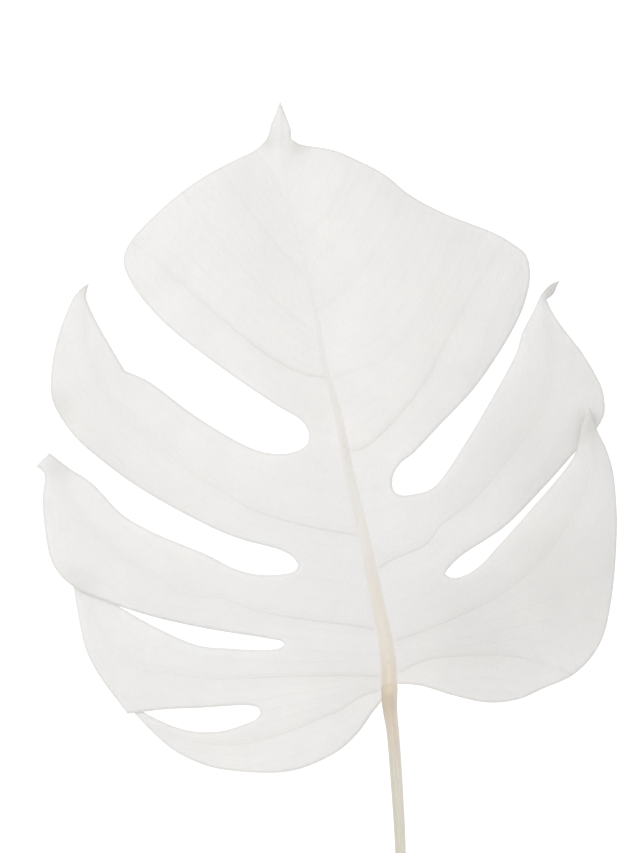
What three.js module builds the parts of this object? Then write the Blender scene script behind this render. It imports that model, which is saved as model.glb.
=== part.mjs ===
// Cut monstera leaf lying face up: a split blade with its midrib, and the long stalk (petiole) below it.
// Millimetres, +Z up. The leaf points along +Y and the stalk along -Y. Everything is drawn around the joint
// of the two, at X = 0, Y = 0. At the end the leaf is moved to put its origin under the middle of its box.
import * as THREE from 'three';

// ---- Driving dimensions ----
const BLADE_THICKNESS = 0.8;
const PIECE_GAP = 0.35; // air between the blade and the knuckle of the stalk
const MARGIN_STEP = 4.8; // facet length along the leaf margin
const GRID_STEP = 7; // facet length inside the blade
const VEIN_STEP = 6.5; // facet length along a vein and along the midrib

// Least distance of a new mesh point from the points before it, and from the margin
const GRID_CLEARANCE = 4.2;
const VEIN_CLEARANCE = 3.2;
const RIB_CLEARANCE = 0.9; // a share of the rib's half width
const MARGIN_CLEARANCE = 2.6;
const WOBBLE = 0.01; // sideways play that keeps regular rows of points from tying
const FAR_CORNER = 4000; // of the first facet, which holds all the points

// Height of the draped blade
const REST_HEIGHT = 8; // at the leaf's two ends
const CROWN_HEIGHT = 19; // extra height of the arch over the middle of the leaf
const CROWN_Y = 115;
const CROWN_REACH = 95;
const SIDE_DROOP = 0.00125; // drop per square millimetre away from the midrib
const VALLEY_DEPTH = 4; // the midrib lies this far below the two halves
const VALLEY_REACH = 26;
const VEIN_VALLEY = 0.6; // depth of the hollow along a side vein
const VEIN_VALLEY_REACH = 9;
const EDGE_ROLL = 4; // how far the ends of the lobes turn down
const EDGE_ROLL_REACH = 15;
const TABLE_SOFTNESS = 5; // how gradually a drooping lobe flattens onto the table
const CREASE_RADIUS = 1.5; // of the bend itself
const CREASE_START = 0.68; // share of the lobe's length where its crease begins
const CREASE_FULL = 0.8; // and where it has its whole slope

// Midrib: half width of its band, depth of the keel beneath it and height of its rounded top, all at the base
const RIB_HALF_WIDTH = 3.9;
const RIB_MIN_HALF_WIDTH = 0.6;
const RIB_ROW_HALF_WIDTH = 1.4; // a rib wider than this has a row of points down each side
const RIB_KEEL = 3.4;
const RIB_FADE_Y = 215;
const RIB_CROWN = 1.8;
const RIB_CROWN_REACH = 34;
const MIDRIB_SAMPLES = 200;
const VEIN_KEEL = 0.8;
const VEIN_KEEL_REACH = 2.2;

// Stalk
const KNUCKLE_RADIUS = 4;
const KNUCKLE_CENTRE = [0.8, 1.0];
const NOTCH_END_ANGLE = 0.18 * Math.PI; // where the right margin of the blade meets the notch
const NOTCH_FACETS = 7;
const STALK_SIDES = 16;
const STALK_STEP = 8;
const DOME_RINGS = 4;

// Drip tip at the apex
const DRIP_TIP_Y = 268;
const DRIP_TIP_LENGTH = 27;
const DRIP_TIP_RISE = 5; // of its end
const DRIP_TIP_GUTTER = 2.2; // rise of its two edges above its middle
const DRIP_TIP_HALF_WIDTH = 6;

// ---- Outline ----
// The leaf margin is walked anticlockwise from the right of the knuckle. Every lobe lists its margin as
// smooth runs that meet in corners, from one sinus to the next. root is the line across its foot, spread the
// sideways fan-out used while the blade is cut into facets, reach its length, and lift how far the two sides
// of its end ride up over a neighbour. All to the left of a crease's line is folded up by its slope.
const LOBES = [
  {
    name: 'right basal',
    margin: [
      [[4.9, 3.2], [15.5, 2.5], [32.5, -2.5], [46.2, -5.7], [56, -6.1], [66.7, -4.2], [78.2, 0.8],
        [91.9, 6.7], [101, 14.7], [107.9, 26.2], [112.5, 47.9], [114.7, 80], [114.2, 94.7], [112.5, 109.6],
        [109, 121], [104.4, 130.4], [101, 141]],
      [[101, 141], [97, 132.5], [95.3, 123.3], [91.8, 115], [69, 87.9], [51.9, 69], [47.3, 63.9],
        [38.2, 57.6], [31, 56.5], [28, 58.6]],
    ],
    root: [[28.5, 57], [78, 0.8]],
    spread: 0.0014,
    lift: [5, 0],
    reach: 110,
    crease: { line: [[91, 113], [105, 131]], slope: 0.5 },
    veins: [
      [[3.5, 24.4], [18.5, 30], [37.3, 38.1], [56, 48.1], [78.5, 67.5], [98.5, 100], [103, 124]],
      [[6, 9], [19, 15], [46, 17.5], [66, 16.3], [78, 12.5]],
    ],
  },
  {
    name: 'right upper',
    margin: [
      [[28, 58.6], [29.8, 61.2], [35.9, 67.3], [57.6, 81.8], [78.2, 102.2], [93.5, 119], [105.2, 131.6],
        [108.5, 138], [108.9, 142.5]],
      [[108.9, 142.5], [107.8, 150], [104, 158.3], [97.2, 169.5], [88.5, 180.6], [82.9, 188.8],
        [79.6, 195.6]],
      [[79.6, 195.6], [83, 198.4], [84.5, 202], [85.7, 204.7]],
      [[85.7, 204.7], [82, 203.2], [78.8, 200.2], [76.6, 196.9], [73.4, 190], [67.6, 179.2], [64.4, 169],
        [53, 147.9], [37.6, 122.4], [24.9, 103.9], [19.8, 100], [12.1, 98], [7, 97.5], [3.2, 99],
        [1.6, 102.6]],
    ],
    root: [[1.6, 102.6], [28.5, 57]],
    spread: 0,
    lift: [0, 0],
    reach: 120,
    crease: { line: [[75, 198.5], [80.5, 194.5]], slope: 1.1 },
    veins: [[[-4.6, 61.3], [2.3, 65.6], [18.5, 73.1], [26, 82.5], [43.5, 96.3], [58.5, 113.8], [74.8, 135],
      [79.8, 143.8], [82.5, 170], [80, 186]]],
  },
  {
    name: 'terminal',
    margin: [
      [[1.6, 102.6], [2.2, 107.7], [5.8, 113.5], [12.1, 118.5], [24.9, 132], [42.8, 151], [58, 172.8],
        [65.7, 186.8], [69.5, 197], [71.4, 208], [69.5, 218], [64.4, 222.5], [54.2, 228.6], [27.4, 239.1],
        [10.8, 248], [-1.9, 258.2], [-14.7, 264.9], [-27.4, 270.3], [-38, 272.2], [-44.5, 273.4],
        [-48.8, 276.2]],
      [[-48.8, 276.2], [-48.7, 280.2], [-50, 284.4], [-52, 289.4], [-54, 294.7]],
      [[-54, 294.7], [-56.2, 288.4], [-58.5, 283], [-59.4, 279], [-60.6, 275.9]],
      [[-60.6, 275.9], [-64.4, 272], [-68.4, 269.2], [-74.3, 266.4], [-94.7, 255.2], [-115.1, 239.3],
        [-129.5, 223.6], [-132.4, 215], [-127.9, 203], [-112.5, 184.5], [-87, 164], [-56.5, 143],
        [-42.4, 134.1], [-39.4, 127.7], [-40.2, 123]],
    ],
    root: [[1.6, 102.6], [-40.2, 123]],
    spread: 0,
    lift: [0, 0],
    reach: 180,
    veins: [
      [[-30.5, 156], [-42, 158], [-59.6, 167], [-94, 195], [-119, 217]],
      [[-21, 119], [-11, 122], [11, 144], [19.8, 156], [27.2, 170.6], [36.8, 188], [56, 220]],
    ],
  },
  {
    name: 'left upper',
    margin: [
      [[-40.2, 123], [-43.7, 120.3], [-51.4, 118.2], [-59, 118.4], [-69.2, 121.3], [-94.7, 136],
        [-120.2, 154.5], [-131.7, 159.6]],
      [[-131.7, 159.6], [-139, 171.7], [-145.7, 183.3], [-150, 192], [-151.6, 197], [-150.2, 203.6]],
      [[-150.2, 203.6], [-153.2, 201.7], [-157.3, 197.2], [-162.4, 186.2], [-166.4, 173.6], [-169, 158],
        [-168.6, 146], [-164.3, 136.7], [-156, 125.8], [-145.8, 116.9], [-125.9, 102.3], [-91.9, 83.5],
        [-75, 76.3], [-53.1, 70.2], [-47.1, 66.6], [-44.6, 62.9]],
    ],
    root: [[-40.2, 123], [-44.6, 62.9]],
    spread: 0,
    lift: [0, 0],
    reach: 125,
    veins: [[[-15, 77.5], [-41.5, 82.5], [-66.5, 90], [-81.5, 98.8], [-97.8, 108.8], [-114, 121.9],
      [-131.5, 136], [-144, 152.5], [-151, 175], [-152, 192]]],
  },
  {
    name: 'left middle',
    margin: [
      [[-44.6, 62.9], [-46.5, 59.9], [-53.1, 58.1], [-66.5, 58.1], [-77.4, 61.1], [-90.7, 67.8],
        [-118.6, 79.3], [-133.1, 87.8], [-148.9, 103.8], [-159.8, 110.8], [-169.7, 118.4]],
      [[-169.7, 118.4], [-176.5, 111.8]],
      [[-176.5, 111.8], [-172.4, 108.5], [-173.2, 95], [-171.8, 79], [-168.9, 65], [-164, 57],
        [-156.5, 50.8], [-148.9, 47.2], [-123.4, 38.1], [-94.3, 31.4], [-58, 25.7], [-53, 24.6],
        [-51.7, 22.9]],
    ],
    root: [[-44.6, 62.9], [-51.7, 22.9]],
    spread: 0,
    lift: [2.5, 6],
    reach: 125,
    crease: { line: [[-172, 108], [-169.9, 118.6]], slope: -0.5 },
    veins: [[[-7.8, 30.6], [-17.8, 32.5], [-41.5, 35.6], [-66.5, 40], [-81.5, 45.6], [-101.5, 48.1],
      [-116.5, 55], [-135.3, 66.9], [-151.5, 82.5], [-168, 108]]],
  },
  {
    name: 'left lower',
    margin: [
      [[-51.7, 22.9], [-54.4, 20.9], [-62.8, 20.1], [-81, 20.6], [-95.6, 22.1], [-118.6, 32],
        [-136.2, 42.1], [-150, 51], [-158.5, 61]],
      [[-158.5, 61], [-157.6, 51], [-154.3, 32], [-151.3, 19.9], [-145.3, 7.8], [-130.7, -12.3]],
      [[-130.7, -12.3], [-111.3, -10.1], [-93.1, -9.2], [-68.9, -7.8], [-64.7, -9.2], [-63.7, -11.8]],
    ],
    root: [[-51.7, 22.9], [-63.7, -11.8]],
    spread: 0.0016,
    lift: [0, 7],
    reach: 110,
    veins: [[[-4, 7], [-29, 7.3], [-59, 6.3], [-86.5, 5], [-109, 7.8], [-122.8, 9.4], [-136, 17],
      [-150, 40]]],
  },
  {
    name: 'left basal',
    margin: [
      [[-63.7, -11.8], [-65.9, -14.7], [-70.1, -16.8], [-83.5, -21.1], [-100.4, -21], [-118.6, -14.1],
        [-132, -5.5]],
      [[-132, -5.5], [-126.3, -13.2], [-118.6, -21.3], [-108.9, -29.8], [-99.2, -35.3], [-87, -39.5],
        [-62.8, -41.6], [-48.3, -40.5], [-36.2, -36.5], [-24, -29.8], [-14.7, -21], [-8, -11.5],
        [-4.2, -5.6]],
      [[-4.2, -5.6], [-3.55, -3.4], [-3.55, 1]],
    ],
    root: [[-63.7, -11.8], [-66, -41.5]],
    spread: 0.0042,
    lift: [0, 0],
    reach: 68,
    veins: [[[-3, 0], [-12.8, -3], [-24, -10], [-34, -14.4], [-54, -22.5], [-76.5, -28], [-99, -26],
      [-115, -21]]],
  },
];

const MIDRIB = [[1, -5], [-0.5, 20], [-5.5, 45], [-10.5, 70], [-19, 107.5], [-25, 138], [-31.7, 163],
  [-38.3, 198.5], [-47, 232.5], [-53.5, 275], [-54, 295]];

// Centre line of the stalk with its radius, from the rounded knuckle to the cut end: x, y, height, radius
const STALK = [[0.8, 1, 9.9, KNUCKLE_RADIUS], [0.7, -5, 9.8, 3.85], [1.2, -12, 9.6, 3.45],
  [2.3, -20, 9.4, 3.05], [4.9, -55, 8.6, 2.85], [6.2, -80, 7.9, 2.6], [6.2, -120, 6.7, 2.6],
  [3, -180, 5.3, 2.75], [-4, -240, 4.1, 3], [-13, -290, 3.6, 3.4], [-19, -319, 3.6, 3.6]];

// ---- Small helpers ----
function smoothCurve(points) {
  const places = points.map(([x, y, z = 0]) => new THREE.Vector3(x, y, z));
  return new THREE.CatmullRomCurve3(places, false, 'centripetal');
}

function spacedPoints(points, step) {
  const curve = smoothCurve(points);
  const count = Math.max(1, Math.round(curve.getLength() / step));
  return curve.getSpacedPoints(count).map((p) => new THREE.Vector2(p.x, p.y));
}

function distanceToSegment(p, a, b) {
  const along = b.clone().sub(a);
  const share = THREE.MathUtils.clamp(p.clone().sub(a).dot(along) / along.lengthSq(), 0, 1);
  return p.distanceTo(a.clone().addScaledVector(along, share));
}

function distanceToPath(p, path, closed) {
  let nearest = Infinity;
  for (let i = closed ? 0 : 1; i < path.length; i += 1) {
    nearest = Math.min(nearest, distanceToSegment(p, path.at(i - 1), path[i]));
  }
  return nearest;
}

function isInside(p, ring) {
  let inside = false;
  for (let i = 0; i < ring.length; i += 1) {
    const a = ring.at(i - 1);
    const b = ring[i];
    const crosses = (a.y > p.y) !== (b.y > p.y);
    if (crosses && p.x < ((b.x - a.x) * (p.y - a.y)) / (b.y - a.y) + a.x) {
      inside = !inside;
    }
  }
  return inside;
}

// ---- Lobes as seen from above, and fanned out so that no lobe covers another ----
for (const lobe of LOBES) {
  const [from, to] = lobe.root.map(([x, y]) => new THREE.Vector2(x, y));
  const foot = to.clone().sub(from).normalize();
  lobe.origin = from;
  lobe.sideways = foot;
  lobe.outward = new THREE.Vector2(foot.y, -foot.x);
  lobe.width = from.distanceTo(to);
  const middle = lobe.margin[Math.floor(lobe.margin.length / 2)][0];
  const towardTip = new THREE.Vector2(...middle).sub(from).dot(lobe.outward);
  if (towardTip < 0) {
    lobe.outward.negate();
  }
  lobe.edge = lobe.margin.flatMap((run) => spacedPoints(run, MARGIN_STEP).slice(0, -1));
}

const beyondRoot = (p, lobe) => Math.max(0, p.clone().sub(lobe.origin).dot(lobe.outward));

function fanOut(p, lobe, direction) {
  const reach = beyondRoot(p, lobe);
  return p.clone().addScaledVector(lobe.sideways, direction * lobe.spread * reach * reach);
}

for (const lobe of LOBES) {
  lobe.flatEdge = lobe.edge.map((p) => fanOut(p, lobe, 1));
}

// The notch at the foot of the blade runs round the knuckle, clear of it by the gap
function knuckleNotch() {
  const [x, y] = KNUCKLE_CENTRE;
  const radius = KNUCKLE_RADIUS + PIECE_GAP;
  const arc = new THREE.EllipseCurve(x, y, radius, radius, Math.PI, NOTCH_END_ANGLE, true);
  return arc.getSpacedPoints(NOTCH_FACETS);
}

const flatOutline = [...knuckleNotch(), ...LOBES.flatMap((lobe) => lobe.flatEdge)];
const lobeOfMargin = new Map(LOBES.flatMap((lobe) => lobe.flatEdge.map((p) => [p, lobe])));

function lobeAt(flat) {
  return lobeOfMargin.get(flat) ?? LOBES.find((lobe) => isInside(flat, lobe.flatEdge)) ?? null;
}

// ---- Facets: the margin, rows of points along midrib and veins, and a staggered grid between them ----
const midribLine = smoothCurve(MIDRIB).getSpacedPoints(MIDRIB_SAMPLES);

function midribX(y) {
  const after = midribLine.findIndex((p) => p.y >= y);
  if (after < 0) {
    return midribLine.at(-1).x;
  }
  const b = midribLine[Math.max(after, 1)];
  const a = midribLine[Math.max(after, 1) - 1];
  return a.x + ((b.x - a.x) * Math.max(0, y - a.y)) / (b.y - a.y);
}

const ribStrength = (y) => THREE.MathUtils.clamp(1 - y / RIB_FADE_Y, 0, 1);
const ribHalfWidth = (y) => THREE.MathUtils.lerp(RIB_MIN_HALF_WIDTH, RIB_HALF_WIDTH, ribStrength(y));

function candidates() {
  const list = [];
  const add = (seen, lobe, clearance) => {
    list.push({ flat: lobe ? fanOut(seen, lobe, 1) : seen, clearance });
  };
  for (const p of spacedPoints(MIDRIB, VEIN_STEP)) {
    const half = ribHalfWidth(p.y);
    const sides = half > RIB_ROW_HALF_WIDTH ? [0, -half, half] : [0];
    for (const side of sides) {
      add(new THREE.Vector2(p.x + side, p.y), null, half * RIB_CLEARANCE);
    }
  }
  for (const lobe of LOBES) {
    for (const vein of lobe.veins) {
      for (const p of spacedPoints(vein, VEIN_STEP)) {
        add(p, lobe, VEIN_CLEARANCE);
      }
    }
  }
  const rowHeight = GRID_STEP * Math.sin(Math.PI / 3);
  const box = new THREE.Box2().setFromPoints(flatOutline);
  for (let row = 0, y = box.min.y; y < box.max.y; row += 1, y += rowHeight) {
    for (let x = box.min.x + (row % 2) * (GRID_STEP / 2); x < box.max.x; x += GRID_STEP) {
      add(new THREE.Vector2(x, y), null, GRID_CLEARANCE);
    }
  }
  return list;
}

const flatPoints = [...flatOutline];
for (const { flat, clearance } of candidates()) {
  const clear = Math.min(clearance, MARGIN_CLEARANCE);
  const crowded = flatPoints.some((p) => p.distanceTo(flat) < clearance);
  if (!crowded && isInside(flat, flatOutline) && distanceToPath(flat, flatOutline, true) > clear) {
    flatPoints.push(flat);
  }
}

// Delaunay facets: each new point takes the place of the facets whose circles hold it
function delaunay(points) {
  const wobbled = (p, i) => new THREE.Vector2(p.x + WOBBLE * Math.sin(i), p.y + WOBBLE * Math.cos(i * i));
  const site = points.map(wobbled);
  site.push(new THREE.Vector2(-FAR_CORNER, -FAR_CORNER));
  site.push(new THREE.Vector2(FAR_CORNER, -FAR_CORNER));
  site.push(new THREE.Vector2(0, FAR_CORNER));
  const facet = (a, b, c) => {
    const [p, q, r] = [site[a], site[b], site[c]];
    const d = 2 * ((q.x - p.x) * (r.y - p.y) - (q.y - p.y) * (r.x - p.x));
    const qq = q.distanceToSquared(p);
    const rr = r.distanceToSquared(p);
    const x = ((r.y - p.y) * qq - (q.y - p.y) * rr) / d;
    const y = ((q.x - p.x) * rr - (r.x - p.x) * qq) / d;
    return { corners: [a, b, c], x: p.x + x, y: p.y + y, reach: x * x + y * y };
  };
  let facets = [facet(points.length, points.length + 1, points.length + 2)];
  for (let i = 0; i < points.length; i += 1) {
    const p = site[i];
    const hit = (f) => (p.x - f.x) ** 2 + (p.y - f.y) ** 2 < f.reach;
    const open = facets.filter(hit);
    facets = facets.filter((f) => !hit(f));
    const edges = new Map();
    for (const { corners } of open) {
      for (let k = 0; k < 3; k += 1) {
        const [a, b] = [corners[k], corners[(k + 1) % 3]];
        if (!edges.delete(`${b},${a}`)) {
          edges.set(`${a},${b}`, [a, b]);
        }
      }
    }
    for (const [a, b] of edges.values()) {
      facets.push(facet(a, b, i));
    }
  }
  return facets.map((f) => f.corners).filter((corners) => Math.max(...corners) < points.length);
}

const facets = delaunay(flatPoints).filter(([a, b, c]) => {
  const centre = flatPoints[a].clone().add(flatPoints[b]).add(flatPoints[c]).divideScalar(3);
  return isInside(centre, flatOutline);
});

// ---- The draped shape ----
const allVeins = LOBES.flatMap((lobe) => lobe.veins);
const veinLines = new Map(allVeins.map((vein) => [vein, spacedPoints(vein, VEIN_STEP / 2)]));

function nearestVein(seen, lobe) {
  const veins = lobe ? lobe.veins : allVeins;
  return Math.min(...veins.map((vein) => distanceToPath(seen, veinLines.get(vein), false)));
}

const bell = (distance, reach) => Math.exp(-((distance / reach) ** 2));

// Rise of a point past its lobe's crease, with the bend itself rounded. Only the end of a lobe has a crease.
function creaseRise(seen, lobe, share) {
  if (!lobe.crease) {
    return 0;
  }
  const [from, to] = lobe.crease.line.map(([x, y]) => new THREE.Vector2(x, y));
  const past = Math.max(0, to.clone().sub(from).normalize().cross(seen.clone().sub(from)));
  const rise = lobe.crease.slope * (Math.hypot(past, CREASE_RADIUS) - CREASE_RADIUS);
  return rise * THREE.MathUtils.smoothstep(share, CREASE_START, CREASE_FULL);
}

function drape(flat) {
  const lobe = lobeAt(flat);
  const seen = lobe ? fanOut(flat, lobe, -1) : flat.clone();
  const aside = seen.x - midribX(seen.y);
  const share = lobe ? beyondRoot(seen, lobe) / lobe.reach : 0;
  const edge = distanceToPath(flat, flatOutline, true);
  const vein = nearestVein(seen, lobe);
  let z = REST_HEIGHT + CROWN_HEIGHT * bell(seen.y - CROWN_Y, CROWN_REACH);
  z -= SIDE_DROOP * aside * aside;
  z += VALLEY_DEPTH * (0.5 - bell(aside, VALLEY_REACH));
  z -= VEIN_VALLEY * bell(vein, VEIN_VALLEY_REACH) * Math.min(1, edge / GRID_STEP);
  if (lobe && edge < EDGE_ROLL_REACH) {
    z -= EDGE_ROLL * share * (1 - edge / EDGE_ROLL_REACH) ** 2;
  }
  const along = Math.max(0, (seen.y - DRIP_TIP_Y) / DRIP_TIP_LENGTH);
  if (along > 0 && Math.abs(aside) < DRIP_TIP_HALF_WIDTH * 2) {
    const across = Math.min(1, Math.abs(aside) / DRIP_TIP_HALF_WIDTH);
    z += along * along * DRIP_TIP_RISE;
    z += Math.min(1, along * 2) * DRIP_TIP_GUTTER * across * across;
  }
  z = (z + Math.hypot(z, TABLE_SOFTNESS)) / 2;
  if (lobe) {
    const across = seen.clone().sub(lobe.origin).dot(lobe.sideways) / lobe.width;
    const [near, end] = lobe.lift;
    z += share * share * THREE.MathUtils.lerp(near, end, THREE.MathUtils.smoothstep(across, 0, 1));
    z += creaseRise(seen, lobe, share);
  }
  const rib = Math.max(0, 1 - Math.abs(aside) / ribHalfWidth(seen.y));
  const keel = RIB_KEEL * ribStrength(seen.y) * rib;
  const veinKeel = VEIN_KEEL * bell(vein, VEIN_KEEL_REACH) * Math.min(1, edge / GRID_STEP);
  const crown = RIB_CROWN * bell(Math.max(0, seen.y), RIB_CROWN_REACH) * rib;
  return { point: new THREE.Vector3(seen.x, seen.y, z), below: Math.max(keel, veinKeel), above: crown };
}

// The blade: an upper and a lower skin either side of the draped sheet, closed by a rim along the margin
function bladeGeometry() {
  const draped = flatPoints.map(drape);
  const sheet = new THREE.BufferGeometry().setFromPoints(draped.map((d) => d.point));
  sheet.setIndex(facets.flat());
  sheet.computeVertexNormals();
  const normal = sheet.getAttribute('normal');
  const upper = [];
  const lower = [];
  draped.forEach(({ point, below, above }, i) => {
    const up = new THREE.Vector3().fromBufferAttribute(normal, i);
    upper.push(point.clone().addScaledVector(up, BLADE_THICKNESS / 2 + above));
    lower.push(point.clone().addScaledVector(up, -BLADE_THICKNESS / 2 - below));
  });
  const count = draped.length;
  const index = [];
  const edges = new Map();
  for (const [a, b, c] of facets) {
    index.push(a, b, c, a + count, c + count, b + count);
    for (const [p, q] of [[a, b], [b, c], [c, a]]) {
      if (!edges.delete(`${q},${p}`)) {
        edges.set(`${p},${q}`, [p, q]);
      }
    }
  }
  for (const [p, q] of edges.values()) {
    index.push(q, p, p + count, q, p + count, q + count);
  }
  const shell = new THREE.BufferGeometry().setFromPoints([...upper, ...lower]);
  shell.setIndex(index);
  shell.computeVertexNormals();
  return shell;
}

// ---- The stalk ----
function stalkRadius(y) {
  const after = Math.max(1, STALK.findIndex((row) => row[1] <= y));
  const [, upperY, , upperRadius] = STALK[after - 1];
  const [, lowerY, , lowerRadius] = STALK[after];
  return THREE.MathUtils.lerp(lowerRadius, upperRadius, THREE.MathUtils.smoothstep(y, lowerY, upperY));
}

// Rings along the centre line, and a dome of smaller ones over the knuckle's end
function stalkRings(line) {
  const rings = [];
  const start = line.getPointAt(0);
  const inward = line.getTangentAt(0).negate();
  for (let ring = DOME_RINGS; ring > 0; ring -= 1) {
    const tilt = (ring / (DOME_RINGS + 1)) * (Math.PI / 2);
    const centre = start.clone().addScaledVector(inward, KNUCKLE_RADIUS * Math.sin(tilt));
    rings.push({ centre, tangent: inward.clone().negate(), radius: KNUCKLE_RADIUS * Math.cos(tilt) });
  }
  const steps = Math.round(line.getLength() / STALK_STEP);
  for (let i = 0; i <= steps; i += 1) {
    const centre = line.getPointAt(i / steps);
    rings.push({ centre, tangent: line.getTangentAt(i / steps), radius: stalkRadius(centre.y) });
  }
  return rings;
}

// A closed tube over the rings: its first point is the top of the dome, its last the middle of the flat cut
function stalkGeometry() {
  const line = smoothCurve(STALK);
  const rings = stalkRings(line);
  const points = [line.getPointAt(0).addScaledVector(line.getTangentAt(0), -KNUCKLE_RADIUS)];
  for (const { centre, tangent, radius } of rings) {
    const side = new THREE.Vector3().crossVectors(tangent, new THREE.Vector3(0, 0, 1)).normalize();
    const up = new THREE.Vector3().crossVectors(side, tangent);
    for (let k = 0; k < STALK_SIDES; k += 1) {
      const turn = (k / STALK_SIDES) * 2 * Math.PI;
      const sideways = centre.clone().addScaledVector(side, radius * Math.cos(turn));
      points.push(sideways.addScaledVector(up, radius * Math.sin(turn)));
    }
  }
  points.push(line.getPointAt(1));
  const index = [];
  const at = (ring, k) => 1 + ring * STALK_SIDES + (k % STALK_SIDES);
  for (let k = 0; k < STALK_SIDES; k += 1) {
    index.push(0, at(0, k), at(0, k + 1));
    index.push(points.length - 1, at(rings.length - 1, k + 1), at(rings.length - 1, k));
    for (let ring = 1; ring < rings.length; ring += 1) {
      index.push(at(ring - 1, k), at(ring, k), at(ring, k + 1));
      index.push(at(ring - 1, k), at(ring, k + 1), at(ring - 1, k + 1));
    }
  }
  const stalk = new THREE.BufferGeometry().setFromPoints(points);
  stalk.setIndex(index);
  stalk.computeVertexNormals();
  return stalk;
}

const bladeSkin = new THREE.MeshStandardMaterial({ color: '#ece9e3', roughness: 0.62, metalness: 0 });
bladeSkin.name = 'blade_skin';
const stalkSkin = new THREE.MeshStandardMaterial({ color: '#cfc6b5', roughness: 0.7, metalness: 0 });
stalkSkin.name = 'stalk_skin';

const blade = new THREE.Mesh(bladeGeometry(), bladeSkin);
blade.name = 'leaf_blade';
const petiole = new THREE.Mesh(stalkGeometry(), stalkSkin);
petiole.name = 'petiole';

const leaf = new THREE.Group();
leaf.name = 'monstera_leaf';
leaf.add(blade, petiole);

// The leaf rests on the surface, with its origin at the centre of its outer box
const footprint = new THREE.Box3().setFromObject(leaf);
const middle = footprint.getCenter(new THREE.Vector3());
leaf.position.set(-middle.x, -middle.y, -footprint.min.z);
leaf.updateMatrixWorld(true);
export default leaf;
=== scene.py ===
"""Looks of a cut monstera leaf lying face up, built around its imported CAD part.

The leaf is drawn in millimetres around the joint of blade and stalk, +X to the right and +Y toward the tip,
and is then moved to the CAD's place, in metres.
"""

import math

import bpy
import numpy as np
from mathutils import Matrix, Vector, kdtree
from mathutils.geometry import delaunay_2d_cdt


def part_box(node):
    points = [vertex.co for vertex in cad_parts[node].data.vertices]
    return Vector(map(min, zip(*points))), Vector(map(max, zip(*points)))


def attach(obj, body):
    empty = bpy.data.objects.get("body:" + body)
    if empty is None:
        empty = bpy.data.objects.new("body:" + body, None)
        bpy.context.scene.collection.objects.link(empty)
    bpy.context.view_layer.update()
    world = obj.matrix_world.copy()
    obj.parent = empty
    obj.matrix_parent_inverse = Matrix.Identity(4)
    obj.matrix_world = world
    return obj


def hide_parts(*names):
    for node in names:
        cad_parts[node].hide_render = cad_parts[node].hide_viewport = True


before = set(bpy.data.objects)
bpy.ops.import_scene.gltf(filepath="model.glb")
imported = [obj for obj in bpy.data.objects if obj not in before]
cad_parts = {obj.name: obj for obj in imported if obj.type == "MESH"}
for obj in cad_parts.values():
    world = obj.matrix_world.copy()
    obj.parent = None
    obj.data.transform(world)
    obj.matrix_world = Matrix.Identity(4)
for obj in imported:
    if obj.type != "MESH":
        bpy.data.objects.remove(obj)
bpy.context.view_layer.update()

MM = 0.001
SEED = 7

# ---- Sheet of the blade ----
BLADE_THICKNESS = 0.8
MARGIN_THICKNESS = 0.45
MARGIN_TAPER_REACH = 3.0  # how far in from the margin the sheet has its whole thickness
MARGIN_BULGE = 0.3  # share of the thickness by which the rounded rim stands out

# Mesh of the sheet: distances between its points, and least distances from the points before
MARGIN_STEP = 1.0
GRID_STEP = 1.65
GRID_SHAKE = 0.12
GRID_CLEARANCE = 0.62 * GRID_STEP
VEIN_STEP = 1.3
MARGIN_CLEARANCE = 0.9
ROW_CLEARANCE = 0.35
MERGE_DISTANCE = 1e-4

# ---- Height of the draped blade ----
REST_HEIGHT = 8.0  # at the leaf's two ends
CROWN_HEIGHT = 19.0  # extra height of the arch over the middle of the leaf
CROWN_Y = 115.0
CROWN_REACH = 95.0
SIDE_DROOP = 0.00125  # drop per square millimetre away from the midrib
VALLEY_DEPTH = 4.0  # the midrib lies this far below the two halves
VALLEY_REACH = 26.0
VEIN_VALLEY = 0.6  # depth of the hollow along a side vein
VEIN_VALLEY_REACH = 9.0
VEIN_VALLEY_MARGIN = 7.0  # the hollow fades out over this distance from the margin
EDGE_ROLL = 4.0  # how far the ends of the lobes turn down
EDGE_ROLL_REACH = 15.0
TABLE_SOFTNESS = 5.0  # how gradually a drooping lobe flattens onto the table
CREASE_RADIUS = 1.5  # of the bend itself
CREASE_START = 0.68  # share of the lobe's length where its crease begins
CREASE_FULL = 0.8  # and where it has its whole slope

# Midrib: half width of its band, depth of the keel beneath it and height of its rounded top, all at the base
RIB_HALF_WIDTH = 3.9
RIB_MIN_HALF_WIDTH = 0.6
RIB_KEEL = 3.4
RIB_FADE_Y = 215.0
RIB_CROWN = 1.8
RIB_CROWN_REACH = 34.0
RIB_ROUNDING = 0.3  # height of the top beyond the crown's reach, and depth of the grooves beside it
RIB_GROOVE_REACH = 0.8
MIDRIB_END_Y = 291.0  # of the points along the midrib
MIDRIB_LINE_STEP = 0.5

# Side veins: gap between the midrib and their first point, and their groove above and ridge below
VEIN_START_GAP = 1.2
VEIN_ROW_GAP = 0.9
VEIN_GROOVE = 0.16
VEIN_RIDGE = 0.9
VEIN_GROOVE_REACH = 0.9
VEIN_WIDTH = 0.75  # at the midrib
VEIN_TAPER = 0.5  # lost over the taper's length
VEIN_TAPER_LENGTH = 110.0
VEIN_RELIEF_START = (0.5, 5.0)  # distances from the margin over which the relief sets in
MINOR_VEIN_STRENGTH = 0.3

# Fine veins run in lanes between the side veins, and the sheet puffs up a little between them
LANES_PER_SECTOR = 5
OUTER_SECTOR_WIDTH = 34.0  # of the sectors that have a side vein on one side only
QUILTING = 0.03
QUILTING_START = (6.0, 25.0)  # distances from the midrib over which it sets in
SIDE_OFFSET = 200.0  # added on the right half, so that its vein net doesn't mirror the left half's

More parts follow.
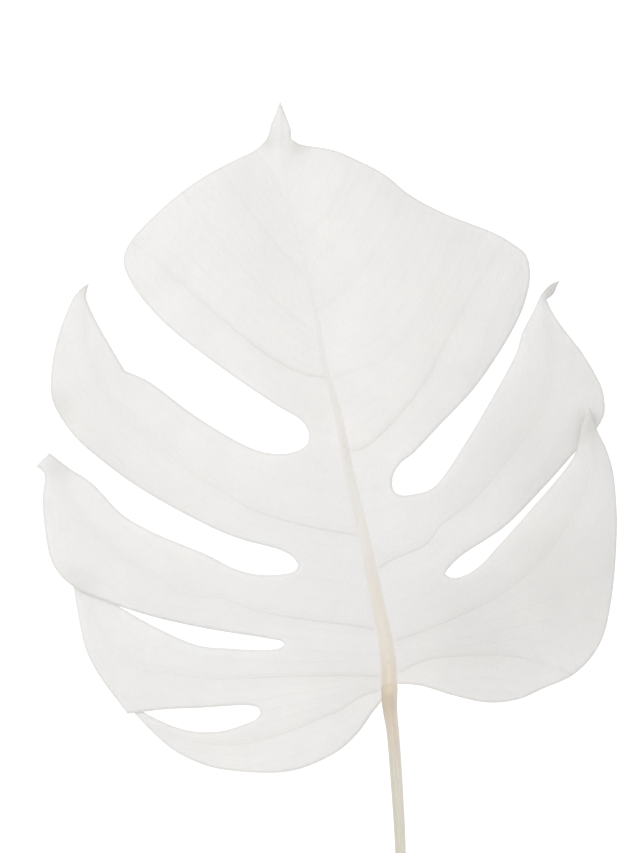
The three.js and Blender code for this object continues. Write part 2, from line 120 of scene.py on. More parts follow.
# Drip tip at the apex
DRIP_TIP_Y = 268.0
DRIP_TIP_LENGTH = 27.0
DRIP_TIP_RISE = 5.0  # of its end
DRIP_TIP_GUTTER = 2.2  # rise of its two edges above its middle
DRIP_TIP_HALF_WIDTH = 6.0

# ---- Outline ----
# The same lobes as the CAD blade's, walked anticlockwise from the right of the knuckle. Every lobe lists its
# margin as smooth runs that meet in corners, from one sinus to the next. root is the line across its foot,
# spread the sideways fan-out used while the sheet is meshed, reach its length, and lift how far the two
# sides of its end ride up over a neighbour. All to the left of a crease's line is folded up by its slope.
# The spots listed last are greyed as painted shade where the sheet folds, curls or dips: x, y, radius, share.
LOBES = [
    {
        "name": "right basal",
        "margin": [
            [[4.9, 3.2], [15.5, 2.5], [32.5, -2.5], [46.2, -5.7], [56, -6.1], [66.7, -4.2], [78.2, 0.8],
             [91.9, 6.7], [101, 14.7], [107.9, 26.2], [112.5, 47.9], [114.7, 80], [114.2, 94.7],
             [112.5, 109.6], [109, 121], [104.4, 130.4], [101, 141]],
            [[101, 141], [97, 132.5], [95.3, 123.3], [91.8, 115], [69, 87.9], [51.9, 69], [47.3, 63.9],
             [38.2, 57.6], [31, 56.5], [28, 58.6]],
        ],
        "root": [[28.5, 57], [78, 0.8]],
        "spread": 0.0014,
        "lift": [5, 0],
        "reach": 110,
        "crease": {"line": [[91, 113], [105, 131]], "slope": 0.5},
        "painted_shade": [[98, 134, 14, 0.5], [93, 121, 8, 0.4]],
        "veins": [
            [[6, 9], [19, 15], [46, 17.5], [66, 16.3], [78, 12.5]],
            [[3.5, 24.4], [18.5, 30], [37.3, 38.1], [56, 48.1], [78.5, 67.5], [98.5, 100], [103, 124]],
        ],
    },
    {
        "name": "right upper",
        "margin": [
            [[28, 58.6], [29.8, 61.2], [35.9, 67.3], [57.6, 81.8], [78.2, 102.2], [93.5, 119], [105.2, 131.6],
             [108.5, 138], [108.9, 142.5]],
            [[108.9, 142.5], [107.8, 150], [104, 158.3], [97.2, 169.5], [88.5, 180.6], [82.9, 188.8],
             [79.6, 195.6]],
            [[79.6, 195.6], [83, 198.4], [84.5, 202], [85.7, 204.7]],
            [[85.7, 204.7], [82, 203.2], [78.8, 200.2], [76.6, 196.9], [73.4, 190], [67.6, 179.2],
             [64.4, 169], [53, 147.9], [37.6, 122.4], [24.9, 103.9], [19.8, 100], [12.1, 98], [7, 97.5],
             [3.2, 99], [1.6, 102.6]],
        ],
        "root": [[1.6, 102.6], [28.5, 57]],
        "spread": 0,
        "lift": [0, 0],
        "reach": 120,
        "crease": {"line": [[75, 198.5], [80.5, 194.5]], "slope": 1.1},
        "painted_shade": [[82, 201, 6, 1]],
        "veins": [[[-4.6, 61.3], [2.3, 65.6], [18.5, 73.1], [26, 82.5], [43.5, 96.3], [58.5, 113.8],
                   [74.8, 135], [79.8, 143.8], [82.5, 170], [80, 186]]],
    },
    {
        "name": "terminal",
        "margin": [
            [[1.6, 102.6], [2.2, 107.7], [5.8, 113.5], [12.1, 118.5], [24.9, 132], [42.8, 151], [58, 172.8],
             [65.7, 186.8], [69.5, 197], [71.4, 208], [69.5, 218], [64.4, 222.5], [54.2, 228.6],
             [27.4, 239.1], [10.8, 248], [-1.9, 258.2], [-14.7, 264.9], [-27.4, 270.3], [-38, 272.2],
             [-44.5, 273.4], [-48.8, 276.2]],
            [[-48.8, 276.2], [-48.7, 280.2], [-50, 284.4], [-52, 289.4], [-54, 294.7]],
            [[-54, 294.7], [-56.2, 288.4], [-58.5, 283], [-59.4, 279], [-60.6, 275.9]],
            [[-60.6, 275.9], [-64.4, 272], [-68.4, 269.2], [-74.3, 266.4], [-94.7, 255.2], [-115.1, 239.3],
             [-129.5, 223.6], [-132.4, 215], [-127.9, 203], [-112.5, 184.5], [-87, 164], [-56.5, 143],
             [-42.4, 134.1], [-39.4, 127.7], [-40.2, 123]],
        ],
        "root": [[1.6, 102.6], [-40.2, 123]],
        "spread": 0,
        "lift": [0, 0],
        "reach": 180,
        "painted_shade": [[-54.5, 295, 4, 0.4], [-61, 275, 4, 0.5], [-45, 273, 5, 0.5]],
        "veins": [
            [[-30.5, 156], [-42, 158], [-59.6, 167], [-94, 195], [-119, 217]],
            [[-21, 119], [-11, 122], [11, 144], [19.8, 156], [27.2, 170.6], [36.8, 188], [56, 220]],
        ],
    },
    {
        "name": "left upper",
        "margin": [
            [[-40.2, 123], [-43.7, 120.3], [-51.4, 118.2], [-59, 118.4], [-69.2, 121.3], [-94.7, 136],
             [-120.2, 154.5], [-131.7, 159.6]],
            [[-131.7, 159.6], [-139, 171.7], [-145.7, 183.3], [-150, 192], [-151.6, 197], [-150.2, 203.6]],
            [[-150.2, 203.6], [-153.2, 201.7], [-157.3, 197.2], [-162.4, 186.2], [-166.4, 173.6], [-169, 158],
             [-168.6, 146], [-164.3, 136.7], [-156, 125.8], [-145.8, 116.9], [-125.9, 102.3], [-91.9, 83.5],
             [-75, 76.3], [-53.1, 70.2], [-47.1, 66.6], [-44.6, 62.9]],
        ],
        "root": [[-40.2, 123], [-44.6, 62.9]],
        "spread": 0,
        "lift": [0, 0],
        "reach": 125,
        "painted_shade": [[-151, 202, 5, 0.5], [-168, 140, 12, 0.4]],
        "veins": [[[-15, 77.5], [-41.5, 82.5], [-66.5, 90], [-81.5, 98.8], [-97.8, 108.8], [-114, 121.9],
                   [-131.5, 136], [-144, 152.5], [-151, 175], [-152, 192]]],
    },
    {
        "name": "left middle",
        "margin": [
            [[-44.6, 62.9], [-46.5, 59.9], [-53.1, 58.1], [-66.5, 58.1], [-77.4, 61.1], [-90.7, 67.8],
             [-118.6, 79.3], [-133.1, 87.8], [-148.9, 103.8], [-159.8, 110.8], [-169.7, 118.4]],
            [[-169.7, 118.4], [-176.5, 111.8]],
            [[-176.5, 111.8], [-172.4, 108.5], [-173.2, 95], [-171.8, 79], [-168.9, 65], [-164, 57],
             [-156.5, 50.8], [-148.9, 47.2], [-123.4, 38.1], [-94.3, 31.4], [-58, 25.7], [-53, 24.6],
             [-51.7, 22.9]],
        ],
        "root": [[-44.6, 62.9], [-51.7, 22.9]],
        "spread": 0,
        "lift": [2.5, 6],
        "reach": 125,
        "crease": {"line": [[-172, 108], [-169.9, 118.6]], "slope": -0.5},
        "painted_shade": [[-164, 113, 8, 0.5], [-157, 51, 12, 0.35]],
        "veins": [[[-7.8, 30.6], [-17.8, 32.5], [-41.5, 35.6], [-66.5, 40], [-81.5, 45.6], [-101.5, 48.1],
                   [-116.5, 55], [-135.3, 66.9], [-151.5, 82.5], [-168, 108]]],
    },
    {
        "name": "left lower",
        "margin": [
            [[-51.7, 22.9], [-54.4, 20.9], [-62.8, 20.1], [-81, 20.6], [-95.6, 22.1], [-118.6, 32],
             [-136.2, 42.1], [-150, 51], [-158.5, 61]],
            [[-158.5, 61], [-157.6, 51], [-154.3, 32], [-151.3, 19.9], [-145.3, 7.8], [-130.7, -12.3]],
            [[-130.7, -12.3], [-111.3, -10.1], [-93.1, -9.2], [-68.9, -7.8], [-64.7, -9.2], [-63.7, -11.8]],
        ],
        "root": [[-51.7, 22.9], [-63.7, -11.8]],
        "spread": 0.0016,
        "lift": [0, 7],
        "reach": 110,
        "veins": [[[-4, 7], [-29, 7.3], [-59, 6.3], [-86.5, 5], [-109, 7.8], [-122.8, 9.4], [-136, 17],
                   [-150, 40]]],
    },
    {
        "name": "left basal",
        "margin": [
            [[-63.7, -11.8], [-65.9, -14.7], [-70.1, -16.8], [-83.5, -21.1], [-100.4, -21], [-118.6, -14.1],
             [-132, -5.5]],
            [[-132, -5.5], [-126.3, -13.2], [-118.6, -21.3], [-108.9, -29.8], [-99.2, -35.3], [-87, -39.5],
             [-62.8, -41.6], [-48.3, -40.5], [-36.2, -36.5], [-24, -29.8], [-14.7, -21], [-8, -11.5],
             [-2.6, -4.6]],
        ],
        "root": [[-63.7, -11.8], [-66, -41.5]],
        "spread": 0.0042,
        "lift": [0, 0],
        "reach": 68,
        "veins": [[[-3, 0], [-12.8, -3], [-24, -10], [-34, -14.4], [-54, -22.5], [-76.5, -28], [-99, -26],
                   [-115, -21]]],
    },
]

# Centre line of the midrib, from the joint to the leaf's tip
MIDRIB = [[1, -5], [-0.5, 20], [-5.5, 45], [-10.5, 70], [-19, 107.5], [-25, 138], [-31.7, 163],
          [-38.3, 198.5], [-47, 232.5], [-53.5, 275], [-54, 295]]

# Rows of points along the midrib: half widths to the side, and the least half width that has the row
MIDRIB_ROWS = [(0, 0), (-1, 0), (1, 0), (-0.5, 1.5), (0.5, 1.5), (-1.3, 1.5), (1.3, 1.5)]

# Weaker side veins of the top lobe, on either side of the midrib
MINOR_VEINS = {
    "left": [
        [[-34, 176], [-52, 190], [-76, 214], [-96, 240]],
        [[-41, 206], [-56, 222], [-74, 246], [-82, 258]],
        [[-48, 240], [-56, 252], [-64, 266]],
    ],
    "right": [
        [[-30, 155], [0.7, 168], [18, 192], [32, 222], [36, 234]],
        [[-36, 188], [-16, 206], [2, 232], [8, 246]],
        [[-45, 222], [-30, 238], [-18, 262]],
    ],
}

# Side veins from the foot of the leaf to its tip: lobe, and number among the lobe's veins
VEIN_ORDER = {
    "left": [("left basal", 0), ("left lower", 0), ("left middle", 0), ("left upper", 0), ("terminal", 0)],
    "right": [("right basal", 0), ("right basal", 1), ("right upper", 0), ("terminal", 1)],
}

# Small hollows and swellings of the sheet: x, y, radius, depth (below zero for a swelling)
DENTS = [
    (-65, 268, 8, 1.6), (-40, 267, 8, 1.6), (-121, 229, 13, 1.4), (47, 231, 13, 1.4), (-101, -27, 9, 1.3),
    (-128, 151, 11, 1.2), (-163, 140, 11, 1.5), (38, 118, 12, -1.0), (-30, 134, 12, 1.2), (44, 92, 12, 1.0),
    (-95, 180, 26, -1.2), (10, 205, 30, -1.2), (60, 60, 26, -1.1), (85, 35, 22, 0.8), (-95, 120, 20, -0.8),
]

# Broad areas faintly greyed as painted shade: x, y, radius, share
PAINTED_SHADE_AREAS = [(44, 28, 36, 0.34), (88, 52, 36, 0.28), (66, 122, 40, 0.2), (-145, 140, 40, 0.12)]

# Centre line of the stalk with its radius: x, y, height, radius
STALK = [[0.8, 1, 9.9, 4], [0.7, -5, 9.8, 3.85], [1.2, -12, 9.6, 3.45], [2.3, -20, 9.4, 3.05],
         [4.9, -55, 8.6, 2.85], [6.2, -80, 7.9, 2.6], [6.2, -120, 6.7, 2.6], [3, -180, 5.3, 2.75],
         [-4, -240, 4.1, 3], [-13, -290, 3.6, 3.4], [-19, -319, 3.6, 3.6]]


# ---- Plane geometry ----
FINE_STEP = 0.25  # of the polyline along which a curve is measured
POINTS_AT_A_TIME = 4000


def smooth_curve(points, step):
    """Points a step apart along the centripetal spline through the given ones, both ends included."""
    given = np.asarray(points, float)
    padded = np.vstack([2 * given[0] - given[1], given, 2 * given[-1] - given[-2]])
    fine = [given[0]]
    for a, b, c, d in zip(padded[:-3], padded[1:-2], padded[2:-1], padded[3:]):
        before, span, after = (math.sqrt(np.linalg.norm(q - p)) for p, q in ((a, b), (b, c), (c, d)))
        leave = span * ((b - a) / before - (c - a) / (before + span) + (c - b) / span)
        arrive = span * ((c - b) / span - (d - b) / (span + after) + (d - c) / after)
        count = max(4, int(np.linalg.norm(c - b) / FINE_STEP))
        for t in np.arange(1, count + 1) / count:
            fine.append(
                b * (2 * t**3 - 3 * t**2 + 1)
                + leave * (t**3 - 2 * t**2 + t)
                + c * (3 * t**2 - 2 * t**3)
                + arrive * (t**3 - t**2)
            )
    fine = np.array(fine)
    length = np.r_[0, np.cumsum(np.linalg.norm(np.diff(fine, axis=0), axis=1))]
    even = np.linspace(0, length[-1], max(1, round(length[-1] / step)) + 1)
    return np.column_stack([np.interp(even, length, column) for column in fine.T])


def along_path(points, path):
    """For every point: distance to the path, which side it lies on (left positive), and how far along it."""
    a, b = path[:-1], path[1:]
    span = b - a
    size = np.linalg.norm(span, axis=1)
    start = np.r_[0, np.cumsum(size)[:-1]]
    distance, side, run = (np.empty(len(points)) for _ in range(3))
    for first in range(0, len(points), POINTS_AT_A_TIME):
        here = slice(first, first + POINTS_AT_A_TIME)
        p = points[here, None, :] - a[None]
        share = np.clip((p * span).sum(2) / size**2, 0, 1)
        gap = p - share[..., None] * span
        far = np.hypot(gap[..., 0], gap[..., 1])
        near = far.argmin(1)
        rows = np.arange(len(near))
        distance[here] = far[rows, near]
        side[here] = np.sign(span[near, 0] * p[rows, near, 1] - span[near, 1] * p[rows, near, 0])
        run[here] = start[near] + share[rows, near] * size[near]
    return distance, side, run


def inside(points, ring):
    """Which points lie inside a closed ring."""
    found = np.zeros(len(points), bool)
    x, y = points.T
    for (ax, ay), (bx, by) in zip(np.roll(ring, 1, axis=0), ring):
        if ay != by:
            crosses = (ay > y) != (by > y)
            found ^= crosses & (x < (bx - ax) * (y - ay) / (by - ay) + ax)
    return found


def gap_to(points, x, y):
    return np.hypot(points[:, 0] - x, points[:, 1] - y)


def smoothstep(value, low, high):
    t = np.clip((value - low) / (high - low), 0, 1)
    return t * t * (3 - 2 * t)


def bell(distance, reach):
    return np.exp(-((distance / reach) ** 2))


def unit(vectors):
    return vectors / np.linalg.norm(vectors, axis=1)[:, None]


# ---- Lobes, fanned out so that none covers another while the sheet is meshed ----
def fan_out(points, lobe, direction):
    """Points of a lobe moved sideways in its own plane: 1 spreads the lobes, -1 puts them back."""
    past = np.maximum(0, (points - lobe["origin"]) @ lobe["outward"])
    return points + direction * lobe["spread"] * (past**2)[:, None] * lobe["sideways"]


def prepare(lobe):
    """Adds the directions across and along the lobe, and its margin in the fanned-out plane."""
    foot = np.subtract(*lobe["root"][::-1])
    lobe["origin"] = np.array(lobe["root"][0], float)
    lobe["width"] = np.linalg.norm(foot)
    lobe["sideways"] = foot / lobe["width"]
    lobe["outward"] = np.array([lobe["sideways"][1], -lobe["sideways"][0]])
    tip = np.array(lobe["margin"][len(lobe["margin"]) // 2][0])
    if (tip - lobe["origin"]) @ lobe["outward"] < 0:
        lobe["outward"] = -lobe["outward"]
    edge = np.vstack([smooth_curve(run, MARGIN_STEP)[:-1] for run in lobe["margin"]])
    lobe["ring"] = fan_out(edge, lobe, 1)


for lobe in LOBES:
    prepare(lobe)
OUTLINE = np.vstack([lobe["ring"] for lobe in LOBES])
MIDRIB_LINE = smooth_curve(MIDRIB, MIDRIB_LINE_STEP)


def midrib_x(y):
    return np.interp(y, MIDRIB_LINE[:, 1], MIDRIB_LINE[:, 0])


def rib_strength(y):
    return np.clip(1 - y / RIB_FADE_Y, 0, 1)


def rib_half_width(y):
    return RIB_MIN_HALF_WIDTH + (RIB_HALF_WIDTH - RIB_MIN_HALF_WIDTH) * rib_strength(y)


def side_veins():
    """Every side vein: its path in the fanned-out plane, its side of the leaf, and its strength."""
    by_name = {lobe["name"]: lobe for lobe in LOBES}
    veins = []
    for side, order in VEIN_ORDER.items():
        for name, number in order:
            path = smooth_curve(by_name[name]["veins"][number], VEIN_STEP)
            veins.append({"side": side, "path": fan_out(path, by_name[name], 1), "strength": 1.0})
        for points in MINOR_VEINS[side]:
            path = smooth_curve(points, VEIN_STEP)
            veins.append({"side": side, "path": path, "strength": MINOR_VEIN_STRENGTH})
    return veins


VEINS = side_veins()


# ---- The flat mesh of the blade ----
def near_tree(points):
    tree = kdtree.KDTree(len(points))
    for i, (x, y) in enumerate(points):
        tree.insert((x, y, 0), i)
    tree.balance()
    return tree


def gaps_to_tree(points, tree):
    return np.array([tree.find((x, y, 0))[2] for x, y in points])


def keep_clear(points, tree, gap):
    return points[gaps_to_tree(points, tree) > gap]


def guide_rows():
    """Rows of mesh points along the midrib and the veins, each with whether edges join its points."""
    line = smooth_curve(MIDRIB, VEIN_STEP)
    line = line[(line[:, 1] > 0) & (line[:, 1] < MIDRIB_END_Y)]
    half = rib_half_width(line[:, 1])
    rows = []
    for across, least in MIDRIB_ROWS:
        row = line + np.column_stack([across * half, np.zeros(len(line))])
        rows.append((row[half > least], abs(across) in (0, 1)))
    for vein in VEINS:
        path = vein["path"]
        aside = np.abs(path[:, 0] - midrib_x(path[:, 1]))
        path = path[aside > rib_half_width(path[:, 1]) + VEIN_START_GAP]
        rows.append((path, True))
        if vein["strength"] == 1:
            across = unit(np.gradient(path, axis=0)[:, ::-1] * (-1, 1))
            for offset in (-VEIN_ROW_GAP, VEIN_ROW_GAP):
                rows.append((path + offset * across, False))
    return rows


def grid_points():
    """A slightly shaken triangular grid over the blade."""
    low, high = OUTLINE.min(0), OUTLINE.max(0)
    random = np.random.default_rng(SEED)
    rows = []
    for number, y in enumerate(np.arange(low[1], high[1], GRID_STEP * math.sqrt(3) / 2)):
        x = np.arange(low[0] + (number % 2) * GRID_STEP / 2, high[0], GRID_STEP)
        rows.append(np.column_stack([x, np.full(len(x), y)]))
    grid = np.vstack(rows)
    grid += random.uniform(-GRID_SHAKE, GRID_SHAKE, grid.shape)
    return grid[inside(grid, OUTLINE)]


def lobe_numbers(flat, sources):
    """The number of the lobe that each point belongs to, or -1 in the middle of the leaf."""
    numbers = np.full(len(flat), -1)
    for number, lobe in enumerate(LOBES):
        numbers[inside(flat, lobe["ring"])] = number
    owner = np.repeat(np.arange(len(LOBES)), [len(lobe["ring"]) for lobe in LOBES])
    for i, given in enumerate(sources):
        on_margin = [point for point in given if point < len(owner)]
        if on_margin:
            numbers[i] = owner[on_margin[0]]
    return numbers


def flat_mesh():
    """Points of the fanned-out blade, its triangles, and the number of each point's lobe."""
    count = len(OUTLINE)
    edges = [(i, (i + 1) % count) for i in range(count)]
    points = OUTLINE
    margin_tree = near_tree(OUTLINE)
    for row, joined in guide_rows():
        row = keep_clear(row[inside(row, OUTLINE)], margin_tree, MARGIN_CLEARANCE)
        if joined:
            steps = np.linalg.norm(np.diff(row, axis=0), axis=1)
            starts = (len(points) + np.flatnonzero(steps < 2 * VEIN_STEP)).tolist()
            edges += [(start, start + 1) for start in starts]
        else:
            row = keep_clear(row, near_tree(points), ROW_CLEARANCE)
        points = np.vstack([points, row])
    points = np.vstack([points, keep_clear(grid_points(), near_tree(points), GRID_CLEARANCE)])
    vectors = [Vector(point) for point in points]
    places, _, faces, sources, _, _ = delaunay_2d_cdt(vectors, edges, [], 1, MERGE_DISTANCE)
    flat = np.array([tuple(place) for place in places])
    triangles = np.array(faces)
    a, b, c = (flat[triangles[:, k]] for k in range(3))
    turned = (b[:, 0] - a[:, 0]) * (c[:, 1] - a[:, 1]) < (b[:, 1] - a[:, 1]) * (c[:, 0] - a[:, 0])
    triangles[turned] = triangles[turned][:, ::-1]
    return flat, triangles, lobe_numbers(flat, sources)


# ---- The draped shape ----
def crease_rise(seen, lobe, share):
    """How far the part of a lobe's end to the left of its crease is folded up."""
    start, end = (np.array(point, float) for point in lobe["crease"]["line"])
    along = (end - start) / np.linalg.norm(end - start)
    past = np.maximum(0, along[0] * (seen[:, 1] - start[1]) - along[1] * (seen[:, 0] - start[0]))
    rise = lobe["crease"]["slope"] * (np.hypot(past, CREASE_RADIUS) - CREASE_RADIUS)
    return rise * smoothstep(share, CREASE_START, CREASE_FULL)


def drape(flat, member, edge, vein):
    """Places of the sheet's points in the leaf, lobes back in place, and their offset from the midrib."""
    seen = flat.copy()
    share = np.zeros(len(flat))
    for number, lobe in enumerate(LOBES):
        own = member == number
        seen[own] = fan_out(flat[own], lobe, -1)
        share[own] = np.maximum(0, (seen[own] - lobe["origin"]) @ lobe["outward"]) / lobe["reach"]
    x, y = seen.T
    aside = x - midrib_x(y)
    z = REST_HEIGHT + CROWN_HEIGHT * bell(y - CROWN_Y, CROWN_REACH)
    z -= SIDE_DROOP * aside**2
    z += VALLEY_DEPTH * (1 - bell(aside, VALLEY_REACH)) - VALLEY_DEPTH / 2
    z -= VEIN_VALLEY * bell(vein, VEIN_VALLEY_REACH) * np.minimum(1, edge / VEIN_VALLEY_MARGIN)
    z -= EDGE_ROLL * share * np.clip(1 - edge / EDGE_ROLL_REACH, 0, 1) ** 2
    along = np.maximum(0, (y - DRIP_TIP_Y) / DRIP_TIP_LENGTH)
    in_tip = (along > 0) & (np.abs(aside) < DRIP_TIP_HALF_WIDTH * 2)
    gutter = np.minimum(1, np.abs(aside) / DRIP_TIP_HALF_WIDTH) ** 2
    z += in_tip * (along**2 * DRIP_TIP_RISE + np.minimum(1, along * 2) * DRIP_TIP_GUTTER * gutter)
    for dent_x, dent_y, radius, depth in DENTS:
        z -= depth * bell(gap_to(seen, dent_x, dent_y), radius)
    z = (z + np.hypot(z, TABLE_SOFTNESS)) / 2
    for number, lobe in enumerate(LOBES):
        own = member == number
        across = (seen[own] - lobe["origin"]) @ lobe["sideways"] / lobe["width"]
        near, far = lobe["lift"]
        z[own] += share[own] ** 2 * (near + (far - near) * smoothstep(across, 0, 1))
        if "crease" in lobe:
            z[own] += crease_rise(seen[own], lobe, share[own])
    return np.column_stack([x, y, z]), aside


def painted_shade_share(places, member):
    """Share of painted shade: spots on the folded and turned-down ends of some lobes, and faintly the broad
    areas.
    """
    painted_shade = np.zeros(len(places))
    for number, lobe in enumerate(LOBES):
        own = member == number
        for x, y, reach, share in lobe.get("painted_shade", []):
            painted_shade[own] = np.maximum(painted_shade[own], share * bell(gap_to(places[own], x, y), reach))
    for x, y, reach, share in PAINTED_SHADE_AREAS:
        painted_shade = np.maximum(painted_shade, share * bell(gap_to(places, x, y), reach))
    return painted_shade


def nearest_veins(points, veins, paths):
    """Distance to the nearest vein, weighted by strength, to the nearest main vein, and its line's width."""
    nearest, main = (np.full(len(points), np.inf) for _ in range(2))
    line_width = np.zeros(len(points))
    for vein, (gap, _, run) in zip(veins, paths):
        if vein["strength"] == 1:
            main = np.minimum(main, gap)
        weighted = gap / vein["strength"]
        closer = weighted < nearest
        nearest = np.where(closer, weighted, nearest)
        width = vein["strength"] * (VEIN_WIDTH - VEIN_TAPER * np.minimum(1, run / VEIN_TAPER_LENGTH))
        line_width = np.where(closer, width, line_width)
    return nearest, main, line_width


def lanes(side, paths):
    """Each point's lane, counted from the foot of the leaf with its share across it, and the lane's width."""
    gaps = np.array([gap for gap, _, _ in paths])
    turns = np.array([turn if side == "right" else -turn for _, turn, _ in paths])
    sector = np.minimum.accumulate(turns > 0, axis=0).sum(0)
    rows = np.arange(len(sector))
    below = gaps[np.maximum(sector - 1, 0), rows]
    beyond = gaps[np.minimum(sector, len(paths) - 1), rows]
    first, last = sector == 0, sector == len(paths)
    widest = OUTER_SECTOR_WIDTH - 1
    below[first] = OUTER_SECTOR_WIDTH - np.minimum(beyond[first], widest)
    beyond[last] = OUTER_SECTOR_WIDTH - np.minimum(below[last], widest)
    width = below + beyond
    return (sector + below / width) * LANES_PER_SECTOR, width / LANES_PER_SECTOR


def vein_map(flat, aside):
    """What the finish needs to know of the veins, for every point of the flat sheet."""
    found = {name: np.zeros(len(flat)) for name in ("nearest", "main", "line_width", "lane", "lane_width")}
    for side, own in (("left", aside < 0), ("right", aside >= 0)):
        veins = [vein for vein in VEINS if vein["side"] == side]
        paths = [along_path(flat[own], vein["path"]) for vein in veins]
        values = (*nearest_veins(flat[own], veins, paths), *lanes(side, paths))
        for name, part in zip(found, values):
            found[name][own] = part
    return found


# ---- The closed mesh of the blade ----
def triangle_normals(points, triangles):
    a, b, c = (points[triangles[:, k]] for k in range(3))
    face = np.cross(b - a, c - a)
    normal = np.zeros_like(points)
    for k in range(3):
        np.add.at(normal, triangles[:, k], face)
    return unit(normal)


def border(triangles):
    """The open edges of a sheet, each in the direction its triangle runs."""
    pairs = np.vstack([triangles[:, [0, 1]], triangles[:, [1, 2]], triangles[:, [2, 0]]])
    key = np.sort(pairs, axis=1)
    _, first, count = np.unique(key, axis=0, return_index=True, return_counts=True)
    return pairs[first[count == 1]]


def mesh_object(name, points, faces, attributes):
    """A smooth object from points in millimetres, with named values at its points."""
    mesh = bpy.data.meshes.new(name)
    mesh.from_pydata((points * MM).tolist(), [], [tuple(map(int, face)) for face in faces])
    for key, values in attributes.items():
        layer = mesh.attributes.new(key, "FLOAT", "POINT")
        layer.data.foreach_set("value", np.asarray(values, np.float32))
    mesh.shade_smooth()
    mesh.update()
    made = bpy.data.objects.new(name, mesh)
    bpy.context.scene.collection.objects.link(made)
    return made


def outward_at(ends, sheet, normal, rim):
    """Directions in which the rim of the sheet stands out, at the ends of its edges."""
    outward = np.zeros_like(sheet)
    sidestep = np.cross(sheet[rim[:, 1]] - sheet[rim[:, 0]], normal[rim[:, 0]])
    np.add.at(outward, rim[:, 0], sidestep)
    np.add.at(outward, rim[:, 1], sidestep)
    return unit(outward[ends])


def blade_piece():
    """The blade as one closed mesh: an upper side, an under side and a rounded rim between them."""
    flat, triangles, member = flat_mesh()
    edge = gaps_to_tree(flat, near_tree(OUTLINE))
    veins = vein_map(flat, flat[:, 0] - midrib_x(flat[:, 1]))
    sheet, aside = drape(flat, member, edge, veins["main"])
    normal = triangle_normals(sheet, triangles)

    half = rib_half_width(sheet[:, 1])
    band = np.clip(1 - (aside / half) ** 2, 0, 1)
    strength = rib_strength(sheet[:, 1])
    inland = smoothstep(edge, *VEIN_RELIEF_START)
    groove = inland * bell(veins["nearest"], VEIN_GROOVE_REACH) * veins["line_width"]
    above = RIB_CROWN * bell(np.maximum(0, sheet[:, 1]), RIB_CROWN_REACH) * band
    above += RIB_ROUNDING * strength * (band - bell(np.abs(aside) - half, RIB_GROOVE_REACH))
    above -= VEIN_GROOVE * groove
    below = RIB_KEEL * strength * np.sqrt(band) + VEIN_RIDGE * groove
    quilt = QUILTING * inland * smoothstep(np.abs(aside), *QUILTING_START)
    quilt = quilt * np.cos(2 * math.pi * veins["lane"])
    thick = MARGIN_THICKNESS + (BLADE_THICKNESS - MARGIN_THICKNESS) * smoothstep(edge, 0, MARGIN_TAPER_REACH)
    top = sheet + normal * (thick / 2 + above - quilt)[:, None]
    bottom = sheet - normal * (thick / 2 + below + quilt)[:, None]

    rim = border(triangles)
    ends = np.unique(rim)
    bulge = sheet[ends] + outward_at(ends, sheet, normal, rim) * MARGIN_BULGE * thick[ends, None]
    count = len(flat)
    faces = triangles.tolist() + (triangles[:, ::-1] + count).tolist()
    place = {point: 2 * count + k for k, point in enumerate(ends.tolist())}
    for a, b in rim.tolist():
        faces.append((b, a, place[a], place[b]))
        faces.append((place[b], place[a], a + count, b + count))

    def everywhere(values):
        return np.r_[values, values, values[ends]]

    attributes = {
        "rib_gap": everywhere(np.abs(aside)),
        "rib_half": everywhere(half),
        "rib_tone": everywhere(strength),
        "vein": everywhere(veins["nearest"]),
        "vein_width": everywhere(veins["line_width"]),
        "lane": everywhere(veins["lane"]),
        "lane_width": everywhere(veins["lane_width"]),
        "along": everywhere(np.abs(aside) + SIDE_OFFSET * (aside > 0)),
        "edge": everywhere(edge),
        "facing": np.r_[np.ones(count), -np.ones(count), np.zeros(len(ends))],
        "painted_shade": everywhere(painted_shade_share(sheet, member)),
    }
    return mesh_object("monstera_blade", np.vstack([top, bottom, bulge]), faces, attributes)


# ---- The stalk ----
STALK_SIDES = 40
STALK_STEP = 0.8
DOME_ANGLES = np.radians([80, 66, 52, 38, 25, 12])  # of the rings that round off the knuckle's end
KNUCKLE_START_Y = -8.0
KNUCKLE_END_Y = -16.0
RADIUS_WINDOW = 19  # rings over which the radius is smoothed
CHANNEL_DEPTH = 0.09  # of the channel along the top, as a share of the radius
CHANNEL_REACH = 0.42  # its angle to either side, in radians
RIDGE_COUNTS = (5, 7, 9, 12)  # waves round the stalk that add up to its lengthwise ridges
RIDGE_HEIGHT = 0.006  # shares of the radius, as the next two
WRINKLE_DEPTH = 0.016
OVALNESS = 0.02
WAVE_PHASES = 9  # of the waves, drawn at random
WRINKLE_SPACING = 1.35
WRINKLE_WAVER = 0.8
CUT_RAGGEDNESS = 0.35
CUT_RINGS = (0.75, 0.35)  # radii of the rings on the cut face, as shares of the stalk's
CUT_ROUGHNESS = 0.12
CUT_SINK = 0.25  # how far each ring lies below the one outside it
CUT_DEPTH = 0.6


def stalk_frames():
    """Each ring's centre, radius and distance down the stalk, and its directions along, sideways and up."""
    given = np.array(STALK, float)
    line = smooth_curve(given[:, :3], STALK_STEP)
    radius = np.interp(-line[:, 1], -given[:, 1], given[:, 3])
    kernel = np.hanning(RADIUS_WINDOW) / np.hanning(RADIUS_WINDOW).sum()
    radius = np.convolve(np.pad(radius, RADIUS_WINDOW // 2, mode="edge"), kernel, mode="valid")
    tangent = unit(np.gradient(line, axis=0))
    dome = [line[0] - tangent[0] * radius[0] * math.sin(angle) for angle in DOME_ANGLES]
    centres = np.vstack([*dome, line])
    sizes = np.r_[radius[0] * np.cos(DOME_ANGLES), radius]
    tangents = np.vstack([np.repeat(tangent[:1], len(DOME_ANGLES), axis=0), tangent])
    runs = np.r_[np.zeros(len(DOME_ANGLES)), np.arange(len(line)) * STALK_STEP]
    side = unit(np.cross(tangents, (0, 0, 1)))
    return centres, sizes, runs, tangents, side, np.cross(side, tangents)


